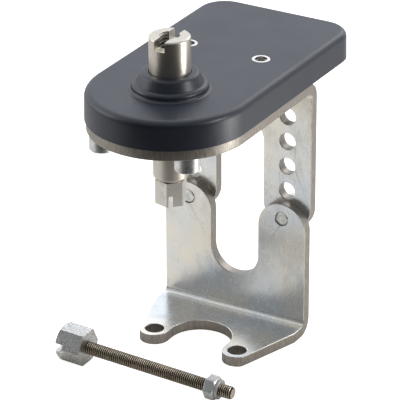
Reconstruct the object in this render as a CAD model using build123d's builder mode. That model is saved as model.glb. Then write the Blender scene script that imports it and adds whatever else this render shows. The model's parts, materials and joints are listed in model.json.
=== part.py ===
"""Movement holder: a bent sheet stand with a moulded pad, a slotted clamp post and a loose long screw.

Millimetres.  X runs across the stand, Y to its back and Z up.  The origin is midway between the two
fixing holes of the foot, on the foot's underside.
"""
from math import asin, atan, atan2, cos, degrees, hypot, radians, sin
import os

from build123d import *

# sheet metal
sheet = 4.0                  # thickness of both brackets
bend_radius = 2.2            # inside radius of both bends
bracket_width = 60.0
leg_gap = 20.0               # clear width between the legs, and between the ears
end_margin = 6.0             # from a bolt hole's centre to the end of its leg or ear

# top bracket
top_face_height = 101.6      # upper face of the plate, above the floor
leg_arch_height = 73.5       # centre of the arch that closes the gap between the legs
bolt_height = 46.0           # lowest hole of each leg
hole_pitch = 10.0
hole_count = 5
bolt_clearance_radius = 3.25

# foot bracket
foot_hole_spacing = 35.5
foot_hole_radius = 3.55
lobe_radius = 5.75
notch_straight = 3.2         # straight run of the notch before its round end
taper_start = 22.0           # where the foot begins to narrow, from the line of the foot holes
foot_reach = 29.3            # from the line of the foot holes to the ears' front face
ear_throat_height = 28.5     # centre of the round bottom between the ears

# pad
pad_overhang = 0.6           # how far the pad stands proud of the plate
pad_thickness = 10.8
pad_length_behind = 30.0     # from the legs' back face to the pad's back end
pad_corner_radius = 11.0
pad_edge_radius = 2.6
pad_draft = 1.0              # taper of the pad's sides, in degrees
dome_bead_radius = 13.8
dome_bead_height = 2.8
dome_foot_radius = 12.0
dome_top_radius = 10.2
dome_height = 6.6
dome_blend = 2.0             # hollow fillet where the dome meets the pad
dome_bead_round = 1.7
dome_top_round = 1.4

# clamp post
post_to_legs = 50.7          # post axis to the legs' front face
post_radius = 7.5
post_height = 20.1           # above the pad's upper face
post_low_radius = 6.35
post_low_length = 19.4       # below the plate
post_chamfer = 0.5
post_slot_width = 4.0
post_slot_depth = 3.8
post_bore_depth = 34.0

# screws, by nominal size and pitch
m5_size = 5.0
m5_pitch = 0.8
m6_size = 6.0
m6_pitch = 1.0
m8_size = 8.0
m8_pitch = 1.25

# post screw
post_screw_flats = 10.2
post_screw_head = 9.3
post_screw_shank = 12.0
post_screw_turned = 45.8     # direction of one corner of its head, in degrees from +X
post_screw_slot_turned = 120.0
post_screw_slot_width = 1.6
post_screw_slot_depth = 4.2
post_washer_thickness = 0.8
post_washer_radius = 4.9

# leg bolts
bolt_flats = 10.0
bolt_head = 4.0
bolt_washer_radius = 6.0
bolt_washer_thickness = 1.6
bolt_recess = 0.5            # from the ear's front face back to the bolt's end

# threaded inserts in the pad
insert_spacing = 30.2
insert_to_post = 39.0
insert_flange_radius = 3.4
insert_flange_thickness = 1.0
insert_body_radius = 2.95

# screws that hold the pad from below
pad_screw_spacing = 35.0
pad_screw_ahead = 18.2       # ahead of the post axis
pad_screw_head_radius = 4.5
pad_screw_head = 5.8
pad_screw_socket_flats = 4.0
pad_screw_socket_depth = 2.5
pad_screw_hole_radius = 2.75
pad_bush_radius = 4.0
pad_bush_length = 7.4

# loose long screw and its lock nut
long_flats = 12.5
long_head = 10.8
long_rod = 61.5
long_slot_width = 3.2
long_slot_depth = 3.6
long_ahead = 29.2            # ahead of the line of the foot holes
long_face_x = -29.0          # where the rod leaves the head
nut_flats = 8.0
nut_thickness = 4.0
nut_at = 51.2                # from the head to the nut
ring_radius = 3.7
ring_thickness = 1.2

# clearances
thread_clearance = 0.05
running_clearance = 0.1
pad_clearance = 0.25
seat_gap = 0.02

# corners of the hexagons
hex_relief = 0.9
nut_relief = 0.5


def pitch_radius(size, pitch):
    """Radius at which a thread's plain cylinder stands in for it."""
    return (size - 0.6495 * pitch) / 2


m5_male = pitch_radius(m5_size, m5_pitch)
m6_male = pitch_radius(m6_size, m6_pitch)
m8_male = pitch_radius(m8_size, m8_pitch)
m5_female = m5_male + thread_clearance
m6_female = m6_male + thread_clearance
m8_female = m8_male + thread_clearance

# places that follow from the sizes
half_width = bracket_width / 2
half_gap = leg_gap / 2
leg_width = half_width - half_gap
leg_centre = half_gap + leg_width / 2
ear_face = foot_reach
leg_face = ear_face + sheet
leg_back = leg_face + sheet
post_y = leg_face - post_to_legs
plate_bottom = top_face_height - sheet
leg_end_centre = bolt_height - end_margin + leg_width / 2
ear_end_centre = bolt_height + end_margin - leg_width / 2
pad_top = top_face_height + pad_thickness
pad_radius = half_width + pad_overhang
pad_back = leg_back + pad_length_behind
post_top = pad_top + post_height
post_bottom = plate_bottom - post_low_length
post_head_top = post_bottom - post_washer_thickness
insert_y = post_y + insert_to_post
pad_screw_y = post_y - pad_screw_ahead
sides = {"left": -1, "right": 1}


def save(part, name):
    """Label a finished piece and write it."""
    part.label = name
    export_step(part, f"parts/{name}.step")


def add_hexagon(plane, flats, length, relief, turned=0):
    """Add a hexagon bar with its corners turned down at the far end, and return it."""
    with BuildPart() as bar:
        with BuildSketch(plane):
            Circle(flats / 2 / cos(radians(30)))
        extrude(amount=length)
        far_rim = bar.edges().filter_by(GeomType.CIRCLE).sort_by_distance(plane.origin)[-1]
        chamfer(far_rim, relief, relief * 1.7)
        with BuildSketch(plane):
            RegularPolygon(flats / 2, 6, major_radius=False, rotation=turned)
        extrude(amount=length, mode=Mode.INTERSECT)
    return bar.part


os.makedirs("parts", exist_ok=True)

# ---- top bracket: a plate with a round front, bent down at the back into two legs
with BuildPart() as top_bracket:
    with BuildSketch(Plane.YZ):
        with BuildLine():
            Polyline(
                (post_y - half_width, plate_bottom),
                (leg_face, plate_bottom),
                (leg_face, leg_end_centre - leg_width / 2),
                (leg_back, leg_end_centre - leg_width / 2),
                (leg_back, top_face_height),
                (post_y - half_width, top_face_height),
                close=True,
            )
        make_face()
    extrude(amount=half_width, both=True)
    across = top_bracket.edges().filter_by(Axis.X)
    fillet(across.sort_by_distance((0, leg_face, plate_bottom))[0], bend_radius)
    across = top_bracket.edges().filter_by(Axis.X)
    fillet(across.sort_by_distance((0, leg_back, top_face_height))[0], bend_radius + sheet)
    with BuildSketch(Plane.XY):
        with Locations((0, post_y)):
            Circle(half_width)
            Rectangle(bracket_width, leg_back - post_y, align=(Align.CENTER, Align.MIN))
    extrude(amount=top_face_height, mode=Mode.INTERSECT)
    # everything below the arch but the two legs is cut away, and the bolt holes with it
    with BuildSketch(Plane.XZ):
        Rectangle(bracket_width + 2, leg_arch_height, align=(Align.CENTER, Align.MIN))
        with Locations((0, leg_arch_height)):
            Circle(half_gap)
        for side in sides.values():
            with Locations((side * leg_centre, leg_end_centre)):
                Circle(leg_width / 2, mode=Mode.SUBTRACT)
                Rectangle(
                    leg_width,
                    leg_arch_height - leg_end_centre,
                    align=(Align.CENTER, Align.MIN),
                    mode=Mode.SUBTRACT,
                )
            for step in range(hole_count):
                with Locations((side * leg_centre, bolt_height + step * hole_pitch)):
                    Circle(bolt_clearance_radius)
    extrude(amount=-(leg_back + 1), mode=Mode.SUBTRACT)
    with Locations((0, post_y, top_face_height)):
        Hole(post_low_radius + seat_gap, sheet)
    for side in sides.values():
        with Locations((side * insert_spacing / 2, insert_y, top_face_height)):
            Hole(insert_body_radius + seat_gap, sheet)
        with Locations((side * pad_screw_spacing / 2, pad_screw_y, top_face_height)):
            Hole(pad_screw_hole_radius, sheet)
save(top_bracket.part, "top_bracket")

# ---- foot bracket: two round ears over a foot that narrows to two lobes
lobe_centre = foot_hole_spacing / 2
notch_radius = lobe_centre - lobe_radius
corner_reach = hypot(half_width - lobe_centre, taper_start)
taper_turn = atan2(taper_start, half_width - lobe_centre) - asin(lobe_radius / corner_reach)
tangent_angle = degrees(taper_turn) - 90
with BuildPart() as foot_bracket:
    with BuildSketch(Plane.YZ):
        with BuildLine():
            Polyline(
                (-lobe_radius, 0),
                (leg_face, 0),
                (leg_face, ear_end_centre + leg_width / 2),
                (ear_face, ear_end_centre + leg_width / 2),
                (ear_face, sheet),
                (-lobe_radius, sheet),
                close=True,
            )
        make_face()
    extrude(amount=half_width, both=True)
    across = foot_bracket.edges().filter_by(Axis.X)
    fillet(across.sort_by_distance((0, ear_face, sheet))[0], bend_radius)
    across = foot_bracket.edges().filter_by(Axis.X)
    fillet(across.sort_by_distance((0, leg_face, 0))[0], bend_radius + sheet)
    with BuildSketch(Plane.XY):
        with BuildLine():
            Line((0, leg_face), (half_width, leg_face))
            Line((half_width, leg_face), (half_width, taper_start))
            lobe = CenterArc((lobe_centre, 0), lobe_radius, tangent_angle, -180 - tangent_angle)
            Line((half_width, taper_start), lobe @ 0)
            Line(lobe @ 1, (notch_radius, notch_straight))
            CenterArc((0, notch_straight), notch_radius, 0, 90)
            Line((0, notch_straight + notch_radius), (0, leg_face))
        make_face()
        mirror(about=Plane.YZ)
        with GridLocations(foot_hole_spacing, 1, 2, 1):
            Circle(foot_hole_radius, mode=Mode.SUBTRACT)
    extrude(amount=ear_end_centre + leg_width, mode=Mode.INTERSECT)
    # everything between and above the ears is cut away, and the two bolt threads with it
    with BuildSketch(Plane.XZ):
        with Locations((0, ear_throat_height)):
            Rectangle(bracket_width + 2, top_face_height, align=(Align.CENTER, Align.MIN))
            Circle(half_gap)
        for side in sides.values():
            with Locations((side * leg_centre, ear_end_centre)):
                Circle(leg_width / 2, mode=Mode.SUBTRACT)
                Rectangle(
                    leg_width,
                    ear_end_centre - ear_throat_height,
                    align=(Align.CENTER, Align.MAX),
                    mode=Mode.SUBTRACT,
                )
            with Locations((side * leg_centre, bolt_height)):
                Circle(m6_female)
    extrude(amount=-(leg_back + 1), mode=Mode.SUBTRACT)
save(foot_bracket.part, "foot_bracket")

# ---- pad: a solid moulding in the plate's outline, with a two-step dome round the post
dome_bore = post_radius + pad_clearance
with BuildPart() as top_pad:
    with BuildSketch(Plane.XY.offset(top_face_height)):
        with Locations((0, post_y)):
            Circle(pad_radius)
            Rectangle(2 * pad_radius, pad_back - post_y, align=(Align.CENTER, Align.MIN))
        fillet(vertices().group_by(Axis.Y)[-1], pad_corner_radius)
    extrude(amount=pad_thickness, taper=pad_draft)
    fillet(top_pad.faces().sort_by(Axis.Z)[-1].edges(), pad_edge_radius)
    with BuildSketch(Plane.YZ):
        with BuildLine():
            Polyline(
                (post_y, pad_top - pad_edge_radius),
                (post_y + dome_bead_radius + dome_blend, pad_top - pad_edge_radius),
                (post_y + dome_bead_radius + dome_blend, pad_top),
                (post_y + dome_bead_radius, pad_top),
                (post_y + dome_bead_radius, pad_top + dome_bead_height),
                (post_y + dome_foot_radius, pad_top + dome_bead_height),
                (post_y + dome_top_radius, pad_top + dome_height),
                (post_y, pad_top + dome_height),
                close=True,
            )
        make_face()
        fillet(vertices().group_by(Axis.Y)[-1].sort_by(Axis.X)[-1], dome_top_round)
        bead_crown = (post_y + dome_bead_radius, pad_top + dome_bead_height)
        fillet(vertices().sort_by_distance(bead_crown)[0], dome_bead_round)
        bead_foot = (post_y + dome_bead_radius, pad_top)
        fillet(vertices().sort_by_distance(bead_foot)[0], dome_bead_height - dome_bead_round - seat_gap)
    revolve(axis=Axis((0, post_y, 0), (0, 0, 1)))
    with Locations((0, post_y, pad_top + dome_height)):
        Hole(dome_bore)
    for side in sides.values():
        with Locations((side * insert_spacing / 2, insert_y, pad_top)):
            CounterBoreHole(
                insert_body_radius + running_clearance,
                insert_flange_radius + running_clearance,
                insert_flange_thickness + seat_gap,
            )
    with BuildSketch(Plane.XY.offset(top_face_height)):
        with Locations((0, pad_screw_y)):
            with GridLocations(pad_screw_spacing, 1, 2, 1):
                Circle(pad_bush_radius + seat_gap)
    extrude(amount=pad_bush_length + running_clearance, mode=Mode.SUBTRACT)
save(top_pad.part, "top_pad")

# ---- clamp post: a stepped steel post, slotted across its top and threaded from both ends
post_bore_end = post_top - post_bore_depth
with BuildPart() as clamp_post:
    with BuildSketch(Plane.XY.offset(post_bottom)):
        with Locations((0, post_y)):
            Circle(post_low_radius)
    extrude(amount=top_face_height + seat_gap - post_bottom)
    with BuildSketch(Plane.XY.offset(top_face_height + seat_gap)):
        with Locations((0, post_y)):
            Circle(post_radius)
    extrude(amount=post_top - top_face_height - seat_gap)
    rims = clamp_post.edges().filter_by(GeomType.CIRCLE)
    chamfer([rims.sort_by(Axis.Z)[0], rims.sort_by(Axis.Z)[-1]], post_chamfer)
    with BuildSketch(Plane.XY.offset(post_bore_end)):
        with Locations((0, post_y)):
            Circle(m8_female)
    extrude(amount=post_bore_depth + 1, mode=Mode.SUBTRACT)
    with BuildSketch(Plane.XY.offset(post_bottom)):
        with Locations((0, post_y)):
            Circle(m6_female)
    extrude(amount=post_bore_end - post_bottom, mode=Mode.SUBTRACT)
    with BuildSketch(Plane.XY.offset(post_top - post_slot_depth)):
        with Locations((0, post_y)):
            Rectangle(post_slot_width, 3 * post_radius)
    extrude(amount=post_slot_depth + 1, mode=Mode.SUBTRACT)
save(clamp_post.part, "clamp_post")

# ---- post screw, head down, with its washer
with BuildPart() as post_washer:
    with BuildSketch(Plane.XY.offset(post_head_top)):
        with Locations((0, post_y)):
            Circle(post_washer_radius)
            Circle(m6_size / 2 + running_clearance, mode=Mode.SUBTRACT)
    extrude(amount=post_washer_thickness)
save(post_washer.part, "post_washer")

with BuildPart() as post_screw:
    with BuildSketch(Plane.XY.offset(post_head_top - post_screw_head)):
        with Locations((0, post_y)):
            RegularPolygon(post_screw_flats / 2, 6, major_radius=False, rotation=post_screw_turned)
    extrude(amount=post_screw_head)
    with BuildSketch(Plane.XY.offset(post_head_top)):
        with Locations((0, post_y)):
            Circle(m6_male)
    extrude(amount=post_washer_thickness + post_screw_shank)
    with BuildSketch(Plane.XY.offset(post_head_top - post_screw_head)):
        with Locations(Location((0, post_y), post_screw_slot_turned)):
            Rectangle(3 * post_screw_flats, post_screw_slot_width)
    extrude(amount=post_screw_slot_depth, mode=Mode.SUBTRACT)
save(post_screw.part, "post_screw")

# ---- leg bolts: each passes forward through a leg and threads into the ear in front of it
for side_name, side in sides.items():
    centre = (side * leg_centre, bolt_height)
    with BuildPart() as leg_washer:
        with BuildSketch(Plane.XZ.offset(-leg_back)):
            with Locations(centre):
                Circle(bolt_washer_radius)
                Circle(m6_size / 2 + running_clearance, mode=Mode.SUBTRACT)
        extrude(amount=-bolt_washer_thickness)
    save(leg_washer.part, f"leg_washer_{side_name}")

    with BuildPart() as leg_bolt:
        head_start = (side * leg_centre, leg_back + bolt_washer_thickness, bolt_height)
        head_plane = Plane(head_start, x_dir=(1, 0, 0), z_dir=(0, 1, 0))
        add(add_hexagon(head_plane, bolt_flats, bolt_head, nut_relief))
        with BuildSketch(Plane.XZ.offset(-leg_back - bolt_washer_thickness)):
            with Locations(centre):
                Circle(m6_male)
        extrude(amount=leg_back + bolt_washer_thickness - ear_face - bolt_recess)
    save(leg_bolt.part, f"leg_bolt_{side_name}")

# ---- threaded inserts: flanged bushes, flush with the pad above and the plate below
for side_name, side in sides.items():
    with BuildPart() as insert:
        with BuildSketch(Plane.XY.offset(plate_bottom)):
            with Locations((side * insert_spacing / 2, insert_y)):
                Circle(insert_body_radius)
                Circle(m5_female, mode=Mode.SUBTRACT)
        extrude(amount=sheet + pad_thickness - insert_flange_thickness)
        with BuildSketch(Plane.XY.offset(pad_top - insert_flange_thickness)):
            with Locations((side * insert_spacing / 2, insert_y)):
                Circle(insert_flange_radius)
                Circle(m5_female, mode=Mode.SUBTRACT)
        extrude(amount=insert_flange_thickness)
    save(insert.part, f"insert_{side_name}")

# ---- pad screws from below, each into a bush moulded in the pad
for side_name, side in sides.items():
    centre = (side * pad_screw_spacing / 2, pad_screw_y)
    with BuildPart() as pad_bush:
        with BuildSketch(Plane.XY.offset(top_face_height)):
            with Locations(centre):
                Circle(pad_bush_radius)
                Circle(m5_female, mode=Mode.SUBTRACT)
        extrude(amount=pad_bush_length)
    save(pad_bush.part, f"pad_bush_{side_name}")

    with BuildPart() as pad_screw:
        with BuildSketch(Plane.XY.offset(plate_bottom - pad_screw_head)):
            with Locations(centre):
                Circle(pad_screw_head_radius)
        extrude(amount=pad_screw_head)
        low_rim = pad_screw.edges().sort_by(Axis.Z)[0]
        chamfer(low_rim, post_chamfer)
        with BuildSketch(Plane.XY.offset(plate_bottom)):
            with Locations(centre):
                Circle(m5_male)
        extrude(amount=sheet + pad_bush_length - running_clearance)
        with BuildSketch(Plane.XY.offset(plate_bottom - pad_screw_head)):
            with Locations(centre):
                RegularPolygon(pad_screw_socket_flats / 2, 6, major_radius=False)
        extrude(amount=pad_screw_socket_depth, mode=Mode.SUBTRACT)
    save(pad_screw.part, f"pad_screw_{side_name}")

# ---- loose long screw: it rests on a flat of its head and on the far edge of its nut
rod_dip = degrees(atan((long_flats - nut_flats) / 2 / (nut_at + nut_thickness)))
rod_start = (long_face_x, -long_ahead, long_flats / 2 * cos(radians(rod_dip)))
rod_plane = Plane(rod_start, x_dir=(0, 1, 0), z_dir=(cos(radians(rod_dip)), 0, -sin(radians(rod_dip))))
with BuildPart() as long_head_part:
    add(add_hexagon(rod_plane.rotated((0, 180, 0)), long_flats, long_head, hex_relief))
    with BuildSketch(rod_plane.offset(-long_head)):
        Rectangle(2 * long_flats, long_slot_width)
    extrude(amount=long_slot_depth, mode=Mode.SUBTRACT)
    with BuildSketch(rod_plane):
        Circle(m5_male + seat_gap)
    extrude(amount=-(long_head - long_slot_depth), mode=Mode.SUBTRACT)
save(long_head_part.part, "long_screw_head")

with BuildPart() as long_rod_part:
    with BuildSketch(rod_plane.offset(long_slot_depth - long_head)):
        Circle(m5_male)
    extrude(amount=long_rod + long_head - long_slot_depth)
save(long_rod_part.part, "long_screw_rod")

with BuildPart() as lock_nut:
    add(add_hexagon(rod_plane.offset(nut_at), nut_flats, nut_thickness, nut_relief))
    with BuildSketch(rod_plane.offset(nut_at)):
        Circle(m5_female)
    extrude(amount=nut_thickness, mode=Mode.SUBTRACT)
save(lock_nut.part, "lock_nut")

with BuildPart() as lock_ring:
    with BuildSketch(rod_plane.offset(nut_at + nut_thickness + seat_gap)):
        Circle(ring_radius)
        Circle(m5_female, mode=Mode.SUBTRACT)
    extrude(amount=ring_thickness)
save(lock_ring.part, "lock_nut_ring")
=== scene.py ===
import json
from math import pi, radians

import bmesh
import bpy
from mathutils import Matrix, Vector


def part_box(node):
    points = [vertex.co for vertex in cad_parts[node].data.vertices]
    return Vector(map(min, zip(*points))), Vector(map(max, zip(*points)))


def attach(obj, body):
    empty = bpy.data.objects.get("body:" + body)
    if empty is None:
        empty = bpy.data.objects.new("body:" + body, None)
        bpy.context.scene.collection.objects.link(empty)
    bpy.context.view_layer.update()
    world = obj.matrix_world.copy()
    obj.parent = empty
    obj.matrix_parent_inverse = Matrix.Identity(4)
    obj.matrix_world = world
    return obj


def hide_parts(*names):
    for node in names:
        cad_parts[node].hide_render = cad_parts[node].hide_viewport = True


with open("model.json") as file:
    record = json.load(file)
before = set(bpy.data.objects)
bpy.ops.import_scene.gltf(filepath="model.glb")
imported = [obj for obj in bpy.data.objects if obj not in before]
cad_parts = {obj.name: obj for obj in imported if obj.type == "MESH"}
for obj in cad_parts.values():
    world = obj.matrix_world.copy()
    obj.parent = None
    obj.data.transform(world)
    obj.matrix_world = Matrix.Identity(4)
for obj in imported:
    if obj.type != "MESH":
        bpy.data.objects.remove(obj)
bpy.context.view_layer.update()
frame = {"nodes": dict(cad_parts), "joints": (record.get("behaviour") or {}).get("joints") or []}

nodes = frame["nodes"]


# ---- Studio: a white sweep for a floor, a pale room and four soft lamps.
# The room is darker low in front, so the bright metal has something to
# reflect besides white.
scene = bpy.context.scene
scene.view_settings.view_transform = "Standard"


def wire(tree, kind, settings=None, **inputs):
    """Add a shader node, set its fields and wire or set its sockets."""
    made = tree.nodes.new(kind)
    for field, value in (settings or {}).items():
        setattr(made, field, value)
    for name, value in inputs.items():
        key = int(name[1:]) if name[0] == "i" and name[1:].isdigit() else name.replace("_", " ")
        if isinstance(value, bpy.types.NodeSocket):
            tree.links.new(value, made.inputs[key])
        else:
            made.inputs[key].default_value = value
    return made


camera_data = bpy.data.cameras.new("studio_camera")
camera_data.sensor_width = 36
camera_data.lens = 279.76
camera_data.shift_x = 0.00755
camera_data.shift_y = 0.02875
camera_data.clip_start = 0.1
camera_data.clip_end = 20
camera = bpy.data.objects.new("studio_camera", camera_data)
scene.collection.objects.link(camera)
right = Vector((0.86588, 0.50025, -0.00293))
up = Vector((-0.21463, 0.37678, 0.90109))
back = right.cross(up)
turn = Matrix((right, up, back)).transposed().to_4x4()
camera.matrix_world = Matrix.Translation((0.51341, -0.88449, 0.54878)) @ turn
scene.camera = camera

world = bpy.data.worlds.new("pale_room")
world.use_nodes = True
scene.world = world
room = world.node_tree
room.nodes.clear()
way = wire(room, "ShaderNodeTexCoord").outputs["Generated"]
height = wire(room, "ShaderNodeSeparateXYZ", Vector=way).outputs["Z"]
glow = wire(room, "ShaderNodeMapRange", {"interpolation_type": "SMOOTHSTEP"}, Value=height,
            From_Min=0.3, From_Max=0.95, To_Min=0.05, To_Max=0.55).outputs[0]
for aim, start, full, strength in (
    ((-0.50, 0.86, 0.10), -0.1, 0.75, 1.10),
    ((-0.92, -0.38, 0.0), 0.55, 0.95, 0.40),
    ((0.95, 0.30, 0.05), 0.80, 0.97, 0.60),
):
    toward = wire(room, "ShaderNodeVectorMath", {"operation": "DOT_PRODUCT"}, i0=way, i1=aim)
    panel = wire(room, "ShaderNodeMapRange", {"interpolation_type": "SMOOTHSTEP"},
                 Value=toward.outputs["Value"], From_Min=start, From_Max=full,
                 To_Min=0.0, To_Max=strength)
    glow = wire(room, "ShaderNodeMath", {"operation": "ADD"},
                i0=glow, i1=panel.outputs[0]).outputs[0]
seen = wire(room, "ShaderNodeLightPath")
room_light = wire(room, "ShaderNodeBackground", Color=(0.90, 0.935, 1.0, 1), Strength=glow)
room_white = wire(room, "ShaderNodeBackground", Color=(1, 1, 1, 1), Strength=1.0)
room_mix = wire(room, "ShaderNodeMixShader", i0=seen.outputs["Is Camera Ray"],
                i1=room_light.outputs[0], i2=room_white.outputs[0])
wire(room, "ShaderNodeOutputWorld", Surface=room_mix.outputs[0])

floor_mesh = bmesh.new()
bmesh.ops.create_grid(floor_mesh, x_segments=1, y_segments=1, size=3.0)
floor_data = bpy.data.meshes.new("floor")
floor_mesh.to_mesh(floor_data)
floor_mesh.free()
floor = bpy.data.objects.new("floor", floor_data)
scene.collection.objects.link(floor)
paper = bpy.data.materials.new("white_sweep")
paper.use_nodes = True
paper_tree = paper.node_tree
paper_tree.nodes.clear()
paper_seen = wire(paper_tree, "ShaderNodeLightPath")
paper_place = wire(paper_tree, "ShaderNodeTexCoord").outputs["Object"]
paper_white = 0.86
toward_camera = (0.5, -0.866, 0)
paper_reach = wire(paper_tree, "ShaderNodeVectorMath", {"operation": "DOT_PRODUCT"},
                   i0=paper_place, i1=toward_camera)
paper_fade = wire(paper_tree, "ShaderNodeMapRange", {"interpolation_type": "SMOOTHSTEP"},
                  Value=paper_reach.outputs["Value"], From_Min=0.09, From_Max=0.20,
                  To_Min=paper_white, To_Max=0.05)
paper_shade = wire(paper_tree, "ShaderNodeMix", i0=paper_seen.outputs["Is Camera Ray"],
                   A=paper_fade.outputs[0], B=paper_white)
paper_colour = wire(paper_tree, "ShaderNodeVectorMath", {"operation": "SCALE"},
                    i0=(1.0, 0.975, 0.93), Scale=paper_shade.outputs[0])
paper_face = wire(paper_tree, "ShaderNodeBsdfDiffuse", Color=paper_colour.outputs[0])
paper_glow = wire(paper_tree, "ShaderNodeEmission", Color=(1, 1, 1, 1), Strength=0.78)
paper_black = wire(paper_tree, "ShaderNodeEmission", Color=(0, 0, 0, 1), Strength=0.0)
paper_lift = wire(paper_tree, "ShaderNodeMixShader", i0=paper_seen.outputs["Is Camera Ray"],
                  i1=paper_black.outputs[0], i2=paper_glow.outputs[0])
paper_sum = wire(paper_tree, "ShaderNodeAddShader",
                 i0=paper_face.outputs[0], i1=paper_lift.outputs[0])
wire(paper_tree, "ShaderNodeOutputMaterial", Surface=paper_sum.outputs[0])
floor_data.materials.append(paper)

lamp_target = Vector((0, 0, 0.06))
for name, place, size, power in (
    ("key_lamp", (0.80, 0.10, 0.42), 0.22, 1.8),
    ("left_lamp", (-0.75, -0.35, 0.45), 0.4, 1.3),
    ("back_lamp", (0.1, 0.9, 0.7), 0.6, 1.8),
    ("low_right_lamp", (0.20, 0.055, 0.045), 0.055, 0.10),
):
    lamp = bpy.data.lights.new(name, "AREA")
    lamp.size = size
    lamp.energy = power
    lamp_object = bpy.data.objects.new(name, lamp)
    scene.collection.objects.link(lamp_object)
    lamp_object.visible_camera = False
    facing = (lamp_target - Vector(place)).to_track_quat("-Z", "Y").to_matrix().to_4x4()
    lamp_object.matrix_world = Matrix.Translation(place) @ facing


# ---- Top bracket and foot bracket: 4 mm stainless sheet, laser cut and bent.
# The faces keep the mill's fine grain with cooler and warmer patches; the cut
# edges are darker and ribbed across the sheet.
def new_material(name):
    """Start a material and return it with its tree, surface shader and object coordinates."""
    made = bpy.data.materials.new(name)
    made.use_nodes = True
    tree = made.node_tree
    tree.nodes.clear()
    surface = wire(tree, "ShaderNodeBsdfPrincipled")
    wire(tree, "ShaderNodeOutputMaterial", Surface=surface.outputs[0])
    place = wire(tree, "ShaderNodeTexCoord").outputs["Object"]
    return made, tree, surface, place


def streaks(tree, place, scale, detail=4.0, rough=0.6):
    """Noise stretched by a scale for each axis."""
    moved = wire(tree, "ShaderNodeMapping", Vector=place, Scale=scale)
    return wire(tree, "ShaderNodeTexNoise", Vector=moved.outputs[0], Scale=1.0, Detail=detail,
                Roughness=rough).outputs[0]


def spread(tree, value, low, high, from_low=0.3, from_high=0.7):
    """Map a noise value to a range."""
    return wire(tree, "ShaderNodeMapRange", Value=value, From_Min=from_low, From_Max=from_high,
                To_Min=low, To_Max=high).outputs[0]


def maths(tree, operation, first, second=0.0):
    """One step of arithmetic."""
    return wire(tree, "ShaderNodeMath", {"operation": operation}, i0=first, i1=second).outputs[0]


def tint(tree, factor, first, second):
    """Mix two colours."""
    mixed = wire(tree, "ShaderNodeMix", {"data_type": "RGBA"}, i0=factor)
    for slot, value in ((6, first), (7, second)):
        if isinstance(value, bpy.types.NodeSocket):
            tree.links.new(value, mixed.inputs[slot])
        else:
            mixed.inputs[slot].default_value = value
    return mixed.outputs[2]


def bump(tree, surface, height, strength, depth):
    """Lay a height field on a surface."""
    laid = wire(tree, "ShaderNodeBump", Height=height, Strength=strength, Distance=depth)
    tree.links.new(laid.outputs[0], surface.inputs["Normal"])


def finish(node, material):
    """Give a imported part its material."""
    data = nodes[node].data
    data.materials.clear()
    data.materials.append(material)


def soften(node, width=None, angle=35):
    """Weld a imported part, break its sharp edges where a width is given, and even its shading."""
    modifiers = nodes[node].modifiers
    modifiers.new("weld", "WELD").merge_threshold = 0.000002
    if width:
        rounded = modifiers.new("edges", "BEVEL")
        rounded.width = width
        rounded.segments = 2
        rounded.limit_method = "ANGLE"
        rounded.angle_limit = radians(angle)
        rounded.harden_normals = False
    modifiers.new("shading", "WEIGHTED_NORMAL").keep_sharp = True


sheet, tree, surface, place = new_material("stainless_sheet")
# A cut edge faces along the sheet: never up on the lying parts, never forward
# on the uprights, and only sideways in the bends.
bends_start_y, low_bend_top, high_bend_foot = 0.0271, 0.0062, 0.0953
spot = wire(tree, "ShaderNodeSeparateXYZ", Vector=place)
flat_normal = wire(tree, "ShaderNodeNewGeometry").outputs["True Normal"]
facing = wire(tree, "ShaderNodeSeparateXYZ", Vector=flat_normal)
lying = maths(tree, "LESS_THAN", spot.outputs["Y"], bends_start_y)
low_bend = maths(tree, "LESS_THAN", spot.outputs["Z"], low_bend_top)
high_bend = maths(tree, "GREATER_THAN", spot.outputs["Z"], high_bend_foot)
bent = maths(tree, "MAXIMUM", low_bend, high_bend)
bend_edge = maths(tree, "ABSOLUTE", facing.outputs["X"])
plain_edge = maths(tree, "SUBTRACT", 1.0, maths(tree, "ABSOLUTE", facing.outputs["Y"]))
lying_edge = maths(tree, "SUBTRACT", 1.0, maths(tree, "ABSOLUTE", facing.outputs["Z"]))
upright_edge = wire(tree, "ShaderNodeMix", i0=bent, A=plain_edge, B=bend_edge).outputs[0]
edge = wire(tree, "ShaderNodeMix", i0=lying, A=upright_edge, B=lying_edge).outputs[0]
edge = spread(tree, edge, 0.0, 1.0, 0.35, 0.6)
grain = streaks(tree, place, (3200, 3200, 420), 3.0)
patches = streaks(tree, place, (34, 34, 30), 2.0)
smudges = streaks(tree, place, (150, 150, 110), 4.0)
cool = spread(tree, patches, 0.0, 1.0, 0.38, 0.62)
face_colour = tint(tree, cool, (0.95, 0.885, 0.76, 1), (0.80, 0.83, 0.85, 1))
smudged = spread(tree, smudges, 0.0, 0.30, 0.50, 0.75)
face_colour = tint(tree, smudged, face_colour, (0.50, 0.49, 0.47, 1))
ribs = streaks(tree, place, (2400, 2400, 300), 3.0)
ribbed = spread(tree, ribs, 0.0, 1.0)
edge_colour = tint(tree, ribbed, (0.24, 0.215, 0.185, 1), (0.42, 0.385, 0.34, 1))
tree.links.new(tint(tree, edge, face_colour, edge_colour), surface.inputs["Base Color"])
face_rough = maths(tree, "ADD", spread(tree, grain, 0.17, 0.23),
                   spread(tree, smudges, 0.0, 0.12))
rough = wire(tree, "ShaderNodeMix", i0=edge, A=face_rough, B=0.42).outputs[0]
tree.links.new(rough, surface.inputs["Roughness"])
surface.inputs["Metallic"].default_value = 1.0
edge_relief = maths(tree, "MULTIPLY", ribs, maths(tree, "MULTIPLY", edge, 1.5))
relief = maths(tree, "ADD", grain, edge_relief)
relief = maths(tree, "ADD", relief, maths(tree, "MULTIPLY", smudges, 1.6))
bump(tree, surface, relief, 0.3, 0.00003)
for name in ("top_bracket", "foot_bracket"):
    finish(name, sheet)
    soften(name, 0.00025)


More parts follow.
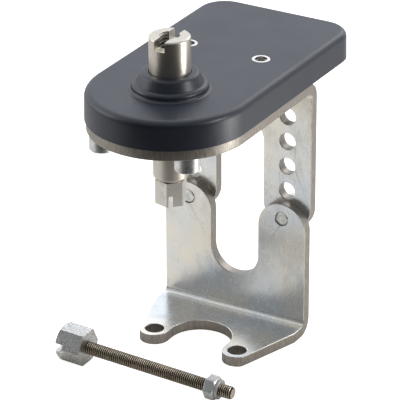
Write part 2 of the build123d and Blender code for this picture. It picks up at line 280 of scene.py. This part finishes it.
# ---- Pad: a solid moulding in charcoal plastic with a satin, faintly pebbled
# skin. Handling leaves it a little shinier in places.
pad, tree, surface, place = new_material("charcoal_pad")
pebble = wire(tree, "ShaderNodeTexVoronoi", Vector=place, Scale=2600).outputs["Distance"]
haze = streaks(tree, place, (60, 60, 60), 4.0)
dust = streaks(tree, place, (900, 900, 900), 6.0, 0.7)
hazy = spread(tree, haze, 0.0, 1.0)
dusty = spread(tree, dust, 0.0, 0.3, 0.62, 0.8)
pad_colour = tint(tree, hazy, (0.007, 0.010, 0.021, 1), (0.012, 0.016, 0.030, 1))
pad_colour = tint(tree, dusty, pad_colour, (0.07, 0.073, 0.085, 1))
tree.links.new(pad_colour, surface.inputs["Base Color"])
tree.links.new(spread(tree, haze, 0.34, 0.44), surface.inputs["Roughness"])
surface.inputs["IOR"].default_value = 1.62
bump(tree, surface, pebble, 0.12, 0.00004)
finish("top_pad", pad)
soften("top_pad")


# ---- Threaded inserts: turned flanged bushes pressed into the pad, with an
# M5 thread showing in each bore.
def turned_metal(name, colour, dark, rough, ring_scale):
    """A lathe-turned metal with rings about Z, or across the part where it is not upright."""
    made, tree, surface, place = new_material(name)
    rings = streaks(tree, place, ring_scale, 2.0)
    wear = streaks(tree, place, (420, 420, 420), 5.0)
    shade = tint(tree, spread(tree, wear, 0.0, 1.0, 0.5, 0.9), colour, dark)
    tree.links.new(shade, surface.inputs["Base Color"])
    tree.links.new(maths(tree, "ADD", spread(tree, rings, rough - 0.02, rough + 0.02),
                         spread(tree, wear, 0.0, 0.08)), surface.inputs["Roughness"])
    surface.inputs["Metallic"].default_value = 1.0
    bump(tree, surface, rings, 0.05, 0.00001)
    return made


def new_piece(name, mesh, material, body):
    """Make a finished mesh into a piece that rides on a body."""
    bmesh.ops.remove_doubles(mesh, verts=mesh.verts, dist=0.000001)
    bmesh.ops.recalc_face_normals(mesh, faces=mesh.faces)
    data = bpy.data.meshes.new(name)
    mesh.to_mesh(data)
    mesh.free()
    data.materials.append(material)
    made = bpy.data.objects.new(name, data)
    scene.collection.objects.link(made)
    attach(made, body)
    return made


def inner_thread(mesh, centre, wall, depth, pitch, start, sweep, height):
    """Wind one ridge of an inner thread about an upright axis, from an angle and a height."""
    steps = max(6, int(sweep / (2 * pi) * 32))
    spots = [(wall, 0.08), (wall - depth, 0.42), (wall - depth, 0.58), (wall, 0.92)]
    ring = [mesh.verts.new((centre[0] + reach, centre[1], height + part * pitch))
            for reach, part in spots]
    face = mesh.faces.new(ring)
    middle = Vector((centre[0], centre[1], 0))
    bmesh.ops.rotate(mesh, verts=ring, cent=middle, matrix=Matrix.Rotation(start, 3, "Z"))
    bmesh.ops.spin(mesh, geom=[face] + list(face.edges) + ring, cent=middle, axis=(0, 0, 1),
                   dvec=(0, 0, pitch * sweep / (2 * pi) / steps), angle=sweep, steps=steps)


m5_pitch, insert_turns = 0.0008, 16
# The threads in the bores get a darker copy of the steel: painted shade for the inside of each
# bore.
bore_painted_shade = turned_metal("bore_painted_shade", (0.34, 0.32, 0.29, 1), (0.22, 0.20, 0.18, 1), 0.34,
                          (900, 900, 900))
bright = turned_metal("bright_insert", (0.86, 0.84, 0.80, 1), (0.62, 0.59, 0.54, 1), 0.2,
                      (120, 120, 5000))
for name in ("insert_left", "insert_right"):
    finish(name, bright)
    soften(name, 0.00015)
    low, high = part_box(name)
    centre = ((low.x + high.x) / 2, (low.y + high.y) / 2)
    mesh = bmesh.new()
    inner_thread(mesh, centre, wall=0.00227, depth=0.00020, pitch=m5_pitch, start=0.0,
                 sweep=2 * pi * insert_turns, height=low.z + m5_pitch)
    new_piece(name + "_thread", mesh, bore_painted_shade, "stand")


# ---- Clamp post: turned steel, slotted from front to back across its top,
# with a coarse M8 thread down its bore.
post_steel = turned_metal("turned_post", (0.66, 0.61, 0.53, 1), (0.56, 0.51, 0.43, 1), 0.30,
                          (30, 30, 7000))
finish("clamp_post", post_steel)
soften("clamp_post", 0.00025)
low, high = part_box("clamp_post")
centre = ((low.x + high.x) / 2, (low.y + high.y) / 2)
# Whole turns run up to the slot; above it each turn is cut to two arcs, one on
# either side of the slot.
slot_depth, turns = 0.0038, 9
m8_wall, m8_depth, m8_pitch = 0.00363, 0.0005, 0.00125
slot_floor = high.z - slot_depth
mesh = bmesh.new()
inner_thread(mesh, centre, m8_wall, m8_depth, m8_pitch, start=0.0, sweep=2 * pi * turns,
             height=slot_floor - m8_pitch * (turns + 1))
for turn_number in range(3):
    for start in (radians(-46), radians(134)):
        rise = m8_pitch * (turn_number + start / (2 * pi))
        inner_thread(mesh, centre, m8_wall, m8_depth, m8_pitch, start, sweep=radians(92),
                     height=slot_floor + rise - 0.0008)
# The post's bore thread takes the same darker steel, painted shade for the inside of the bore.
new_piece("clamp_post_thread", mesh, bore_painted_shade, "stand")


# ---- Post screw and its washer: a plain steel hexagon with a slot cut across
# its end.
screw_steel = turned_metal("screw_steel", (0.70, 0.67, 0.61, 1), (0.50, 0.47, 0.42, 1), 0.27,
                           (900, 900, 900))
for name in ("post_screw", "post_washer"):
    finish(name, screw_steel)
    soften(name, 0.0002)


# ---- Pad screws and their bushes: zinc-plated cap screws up through the
# plate into brass bushes moulded in the pad.
zinc, tree, surface, place = new_material("zinc_plate")
spangle = wire(tree, "ShaderNodeTexVoronoi", Vector=place, Scale=900).outputs["Color"]
cloud = streaks(tree, place, (500, 500, 500), 5.0)
clouded = spread(tree, cloud, 0.0, 1.0, 0.35, 0.7)
zinc_colour = tint(tree, clouded, (0.83, 0.83, 0.80, 1), (0.60, 0.60, 0.58, 1))
tree.links.new(tint(tree, 0.06, zinc_colour, spangle), surface.inputs["Base Color"])
tree.links.new(spread(tree, cloud, 0.22, 0.38), surface.inputs["Roughness"])
surface.inputs["Metallic"].default_value = 1.0
bump(tree, surface, cloud, 0.3, 0.00004)
brass = turned_metal("brass_bush", (0.78, 0.60, 0.30, 1), (0.60, 0.44, 0.20, 1), 0.3,
                     (120, 120, 4000))
for side in ("left", "right"):
    finish("pad_screw_" + side, zinc)
    soften("pad_screw_" + side, 0.0002)
    finish("pad_bush_" + side, brass)


# ---- Leg bolts and washers: plated hexagon bolts from behind; each bolt's end
# shows in its ear, with a turned-down tip.
for side in ("left", "right"):
    body = "leg_bolt_" + side
    finish(body, zinc)
    finish("leg_washer_" + side, zinc)
    soften("leg_washer_" + side, 0.0002)
    low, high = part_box(body)
    mesh = bmesh.new()
    bmesh.ops.create_circle(mesh, cap_ends=True, radius=0.00262, segments=48)
    rim = bmesh.ops.extrude_face_region(mesh, geom=list(mesh.faces))["geom"]
    raised = [part for part in rim if isinstance(part, bmesh.types.BMVert)]
    bmesh.ops.scale(mesh, verts=raised, vec=(0.84, 0.84, 1))
    bmesh.ops.translate(mesh, verts=raised, vec=(0, 0, 0.0004))
    bolt_end = Matrix.Translation(((low.x + high.x) / 2, low.y, (low.z + high.z) / 2))
    bmesh.ops.transform(mesh, matrix=bolt_end @ Matrix.Rotation(pi / 2, 4, "X"), verts=mesh.verts)
    new_piece(body + "_tip", mesh, zinc, body)


# ---- Loose long screw: a turned hexagon head with a slot across its end, on a
# dark M5 rod that is threaded along its whole length. Its thread roots carry painted shade, near
# black, and its crests are lighter.
head_steel, tree, surface, place = new_material("head_steel")
pits = streaks(tree, place, (1900, 1900, 1900), 3.0, 0.7)
tool_marks = streaks(tree, place, (3000, 250, 250), 2.0)
pitted = spread(tree, pits, 0.0, 1.0, 0.40, 0.62)
head_colour = tint(tree, pitted, (0.86, 0.85, 0.82, 1), (0.30, 0.29, 0.27, 1))
tree.links.new(head_colour, surface.inputs["Base Color"])
tree.links.new(spread(tree, pits, 0.20, 0.46), surface.inputs["Roughness"])
surface.inputs["Metallic"].default_value = 1.0
bump(tree, surface, maths(tree, "ADD", pits, tool_marks), 0.5, 0.00005)
finish("long_screw_head", head_steel)
soften("long_screw_head", 0.00025, 25)

nut_joint = next(joint for joint in frame["joints"] if joint["name"] == "lock_nut_turn")
rod_way = Vector(nut_joint["axis"]).normalized()
rod_turn = rod_way.to_track_quat("Z", "Y").to_matrix().to_4x4()
rod_place = Matrix.Translation(Vector(nut_joint["pos_m"])) @ rod_turn


def outer_thread(mesh, crest, root, pitch, low, high, tip):
    """A closed rod along Z with a running thread, square at both ends and thinned at its tip.

    Its "crest" attribute is 1 at the crests and on the end face, and 0 at the roots.
    """
    spots = [(root, 0.0), (root, 0.1), (crest, 0.44), (crest, 0.56), (root, 0.9), (root, 1.0)]
    line = [mesh.verts.new((reach, 0, low - pitch + part * pitch)) for reach, part in spots]
    run = [mesh.edges.new(pair) for pair in zip(line, line[1:])]
    turns = int((high - low) / pitch) + 3
    bmesh.ops.spin(mesh, geom=line + run, cent=(0, 0, 0), axis=(0, 0, 1), dvec=(0, 0, pitch / 24),
                   angle=2 * pi * turns, steps=24 * turns)
    bmesh.ops.remove_doubles(mesh, verts=mesh.verts, dist=0.000002)
    for level, sign in ((low, -1), (high, 1)):
        whole = list(mesh.verts) + list(mesh.edges) + list(mesh.faces)
        bmesh.ops.bisect_plane(mesh, geom=whole, plane_co=(0, 0, level), plane_no=(0, 0, sign),
                               clear_outer=True)
    for vert in mesh.verts:
        if vert.co.z > high - tip:
            limit = crest - (vert.co.z - (high - tip)) * 0.7
            reach = vert.co.xy.length
            if reach > limit:
                vert.co.x *= limit / reach
                vert.co.y *= limit / reach
    bmesh.ops.holes_fill(mesh, edges=[edge for edge in mesh.edges if edge.is_boundary], sides=0)
    # The crest attribute drives the painted shade in the thread roots.
    crest_vs_root_shade = mesh.verts.layers.float.new("crest")
    for vert in mesh.verts:
        on_end = vert.co.z > high - 0.00001
        vert[crest_vs_root_shade] = 1.0 if on_end else max(0.0, (vert.co.xy.length - root) / (crest - root))


dark, tree, surface, place = new_material("dark_rod")
soot = streaks(tree, place, (300, 900, 900), 5.0)
sooty = spread(tree, soot, 0.0, 1.0, 0.35, 0.7)
crest_colour = tint(tree, sooty, (0.74, 0.64, 0.50, 1), (0.40, 0.35, 0.28, 1))
# Painted shade: near black in the thread roots, rising to the crest colour on the crests and the
# end face.
crest_vs_root_shade = wire(tree, "ShaderNodeAttribute", {"attribute_name": "crest"}).outputs["Fac"]
root_shade_mix = spread(tree, crest_vs_root_shade, 0.0, 1.0, 0.25, 0.95)
rod_colour = tint(tree, root_shade_mix, (0.022, 0.019, 0.015, 1), crest_colour)
tree.links.new(rod_colour, surface.inputs["Base Color"])
tree.links.new(spread(tree, soot, 0.24, 0.40), surface.inputs["Roughness"])
surface.inputs["Metallic"].default_value = 1.0
bump(tree, surface, soot, 0.3, 0.00004)
finish("long_screw_rod", dark)
mesh = bmesh.new()
outer_thread(mesh, crest=0.00249, root=0.00203, pitch=m5_pitch, low=-0.0072, high=0.0615,
             tip=0.0008)
bmesh.ops.transform(mesh, matrix=rod_place, verts=mesh.verts)
rod = new_piece("long_screw_thread", mesh, dark, "long_screw")
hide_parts("long_screw_rod")


# ---- Lock nut and its ring: a bright plated nut with a collar turned on its
# outboard side.
finish("lock_nut", zinc)
soften("lock_nut", 0.00015, 25)
ring_plastic, tree, surface, place = new_material("lock_ring")
cloud = streaks(tree, place, (700, 700, 700), 4.0)
clouded = spread(tree, cloud, 0.0, 1.0)
ring_colour = tint(tree, clouded, (0.52, 0.52, 0.50, 1), (0.38, 0.38, 0.37, 1))
tree.links.new(ring_colour, surface.inputs["Base Color"])
surface.inputs["Roughness"].default_value = 0.4
surface.inputs["Metallic"].default_value = 0.6
bump(tree, surface, cloud, 0.25, 0.00004)
finish("lock_nut_ring", ring_plastic)
soften("lock_nut_ring", 0.0003)
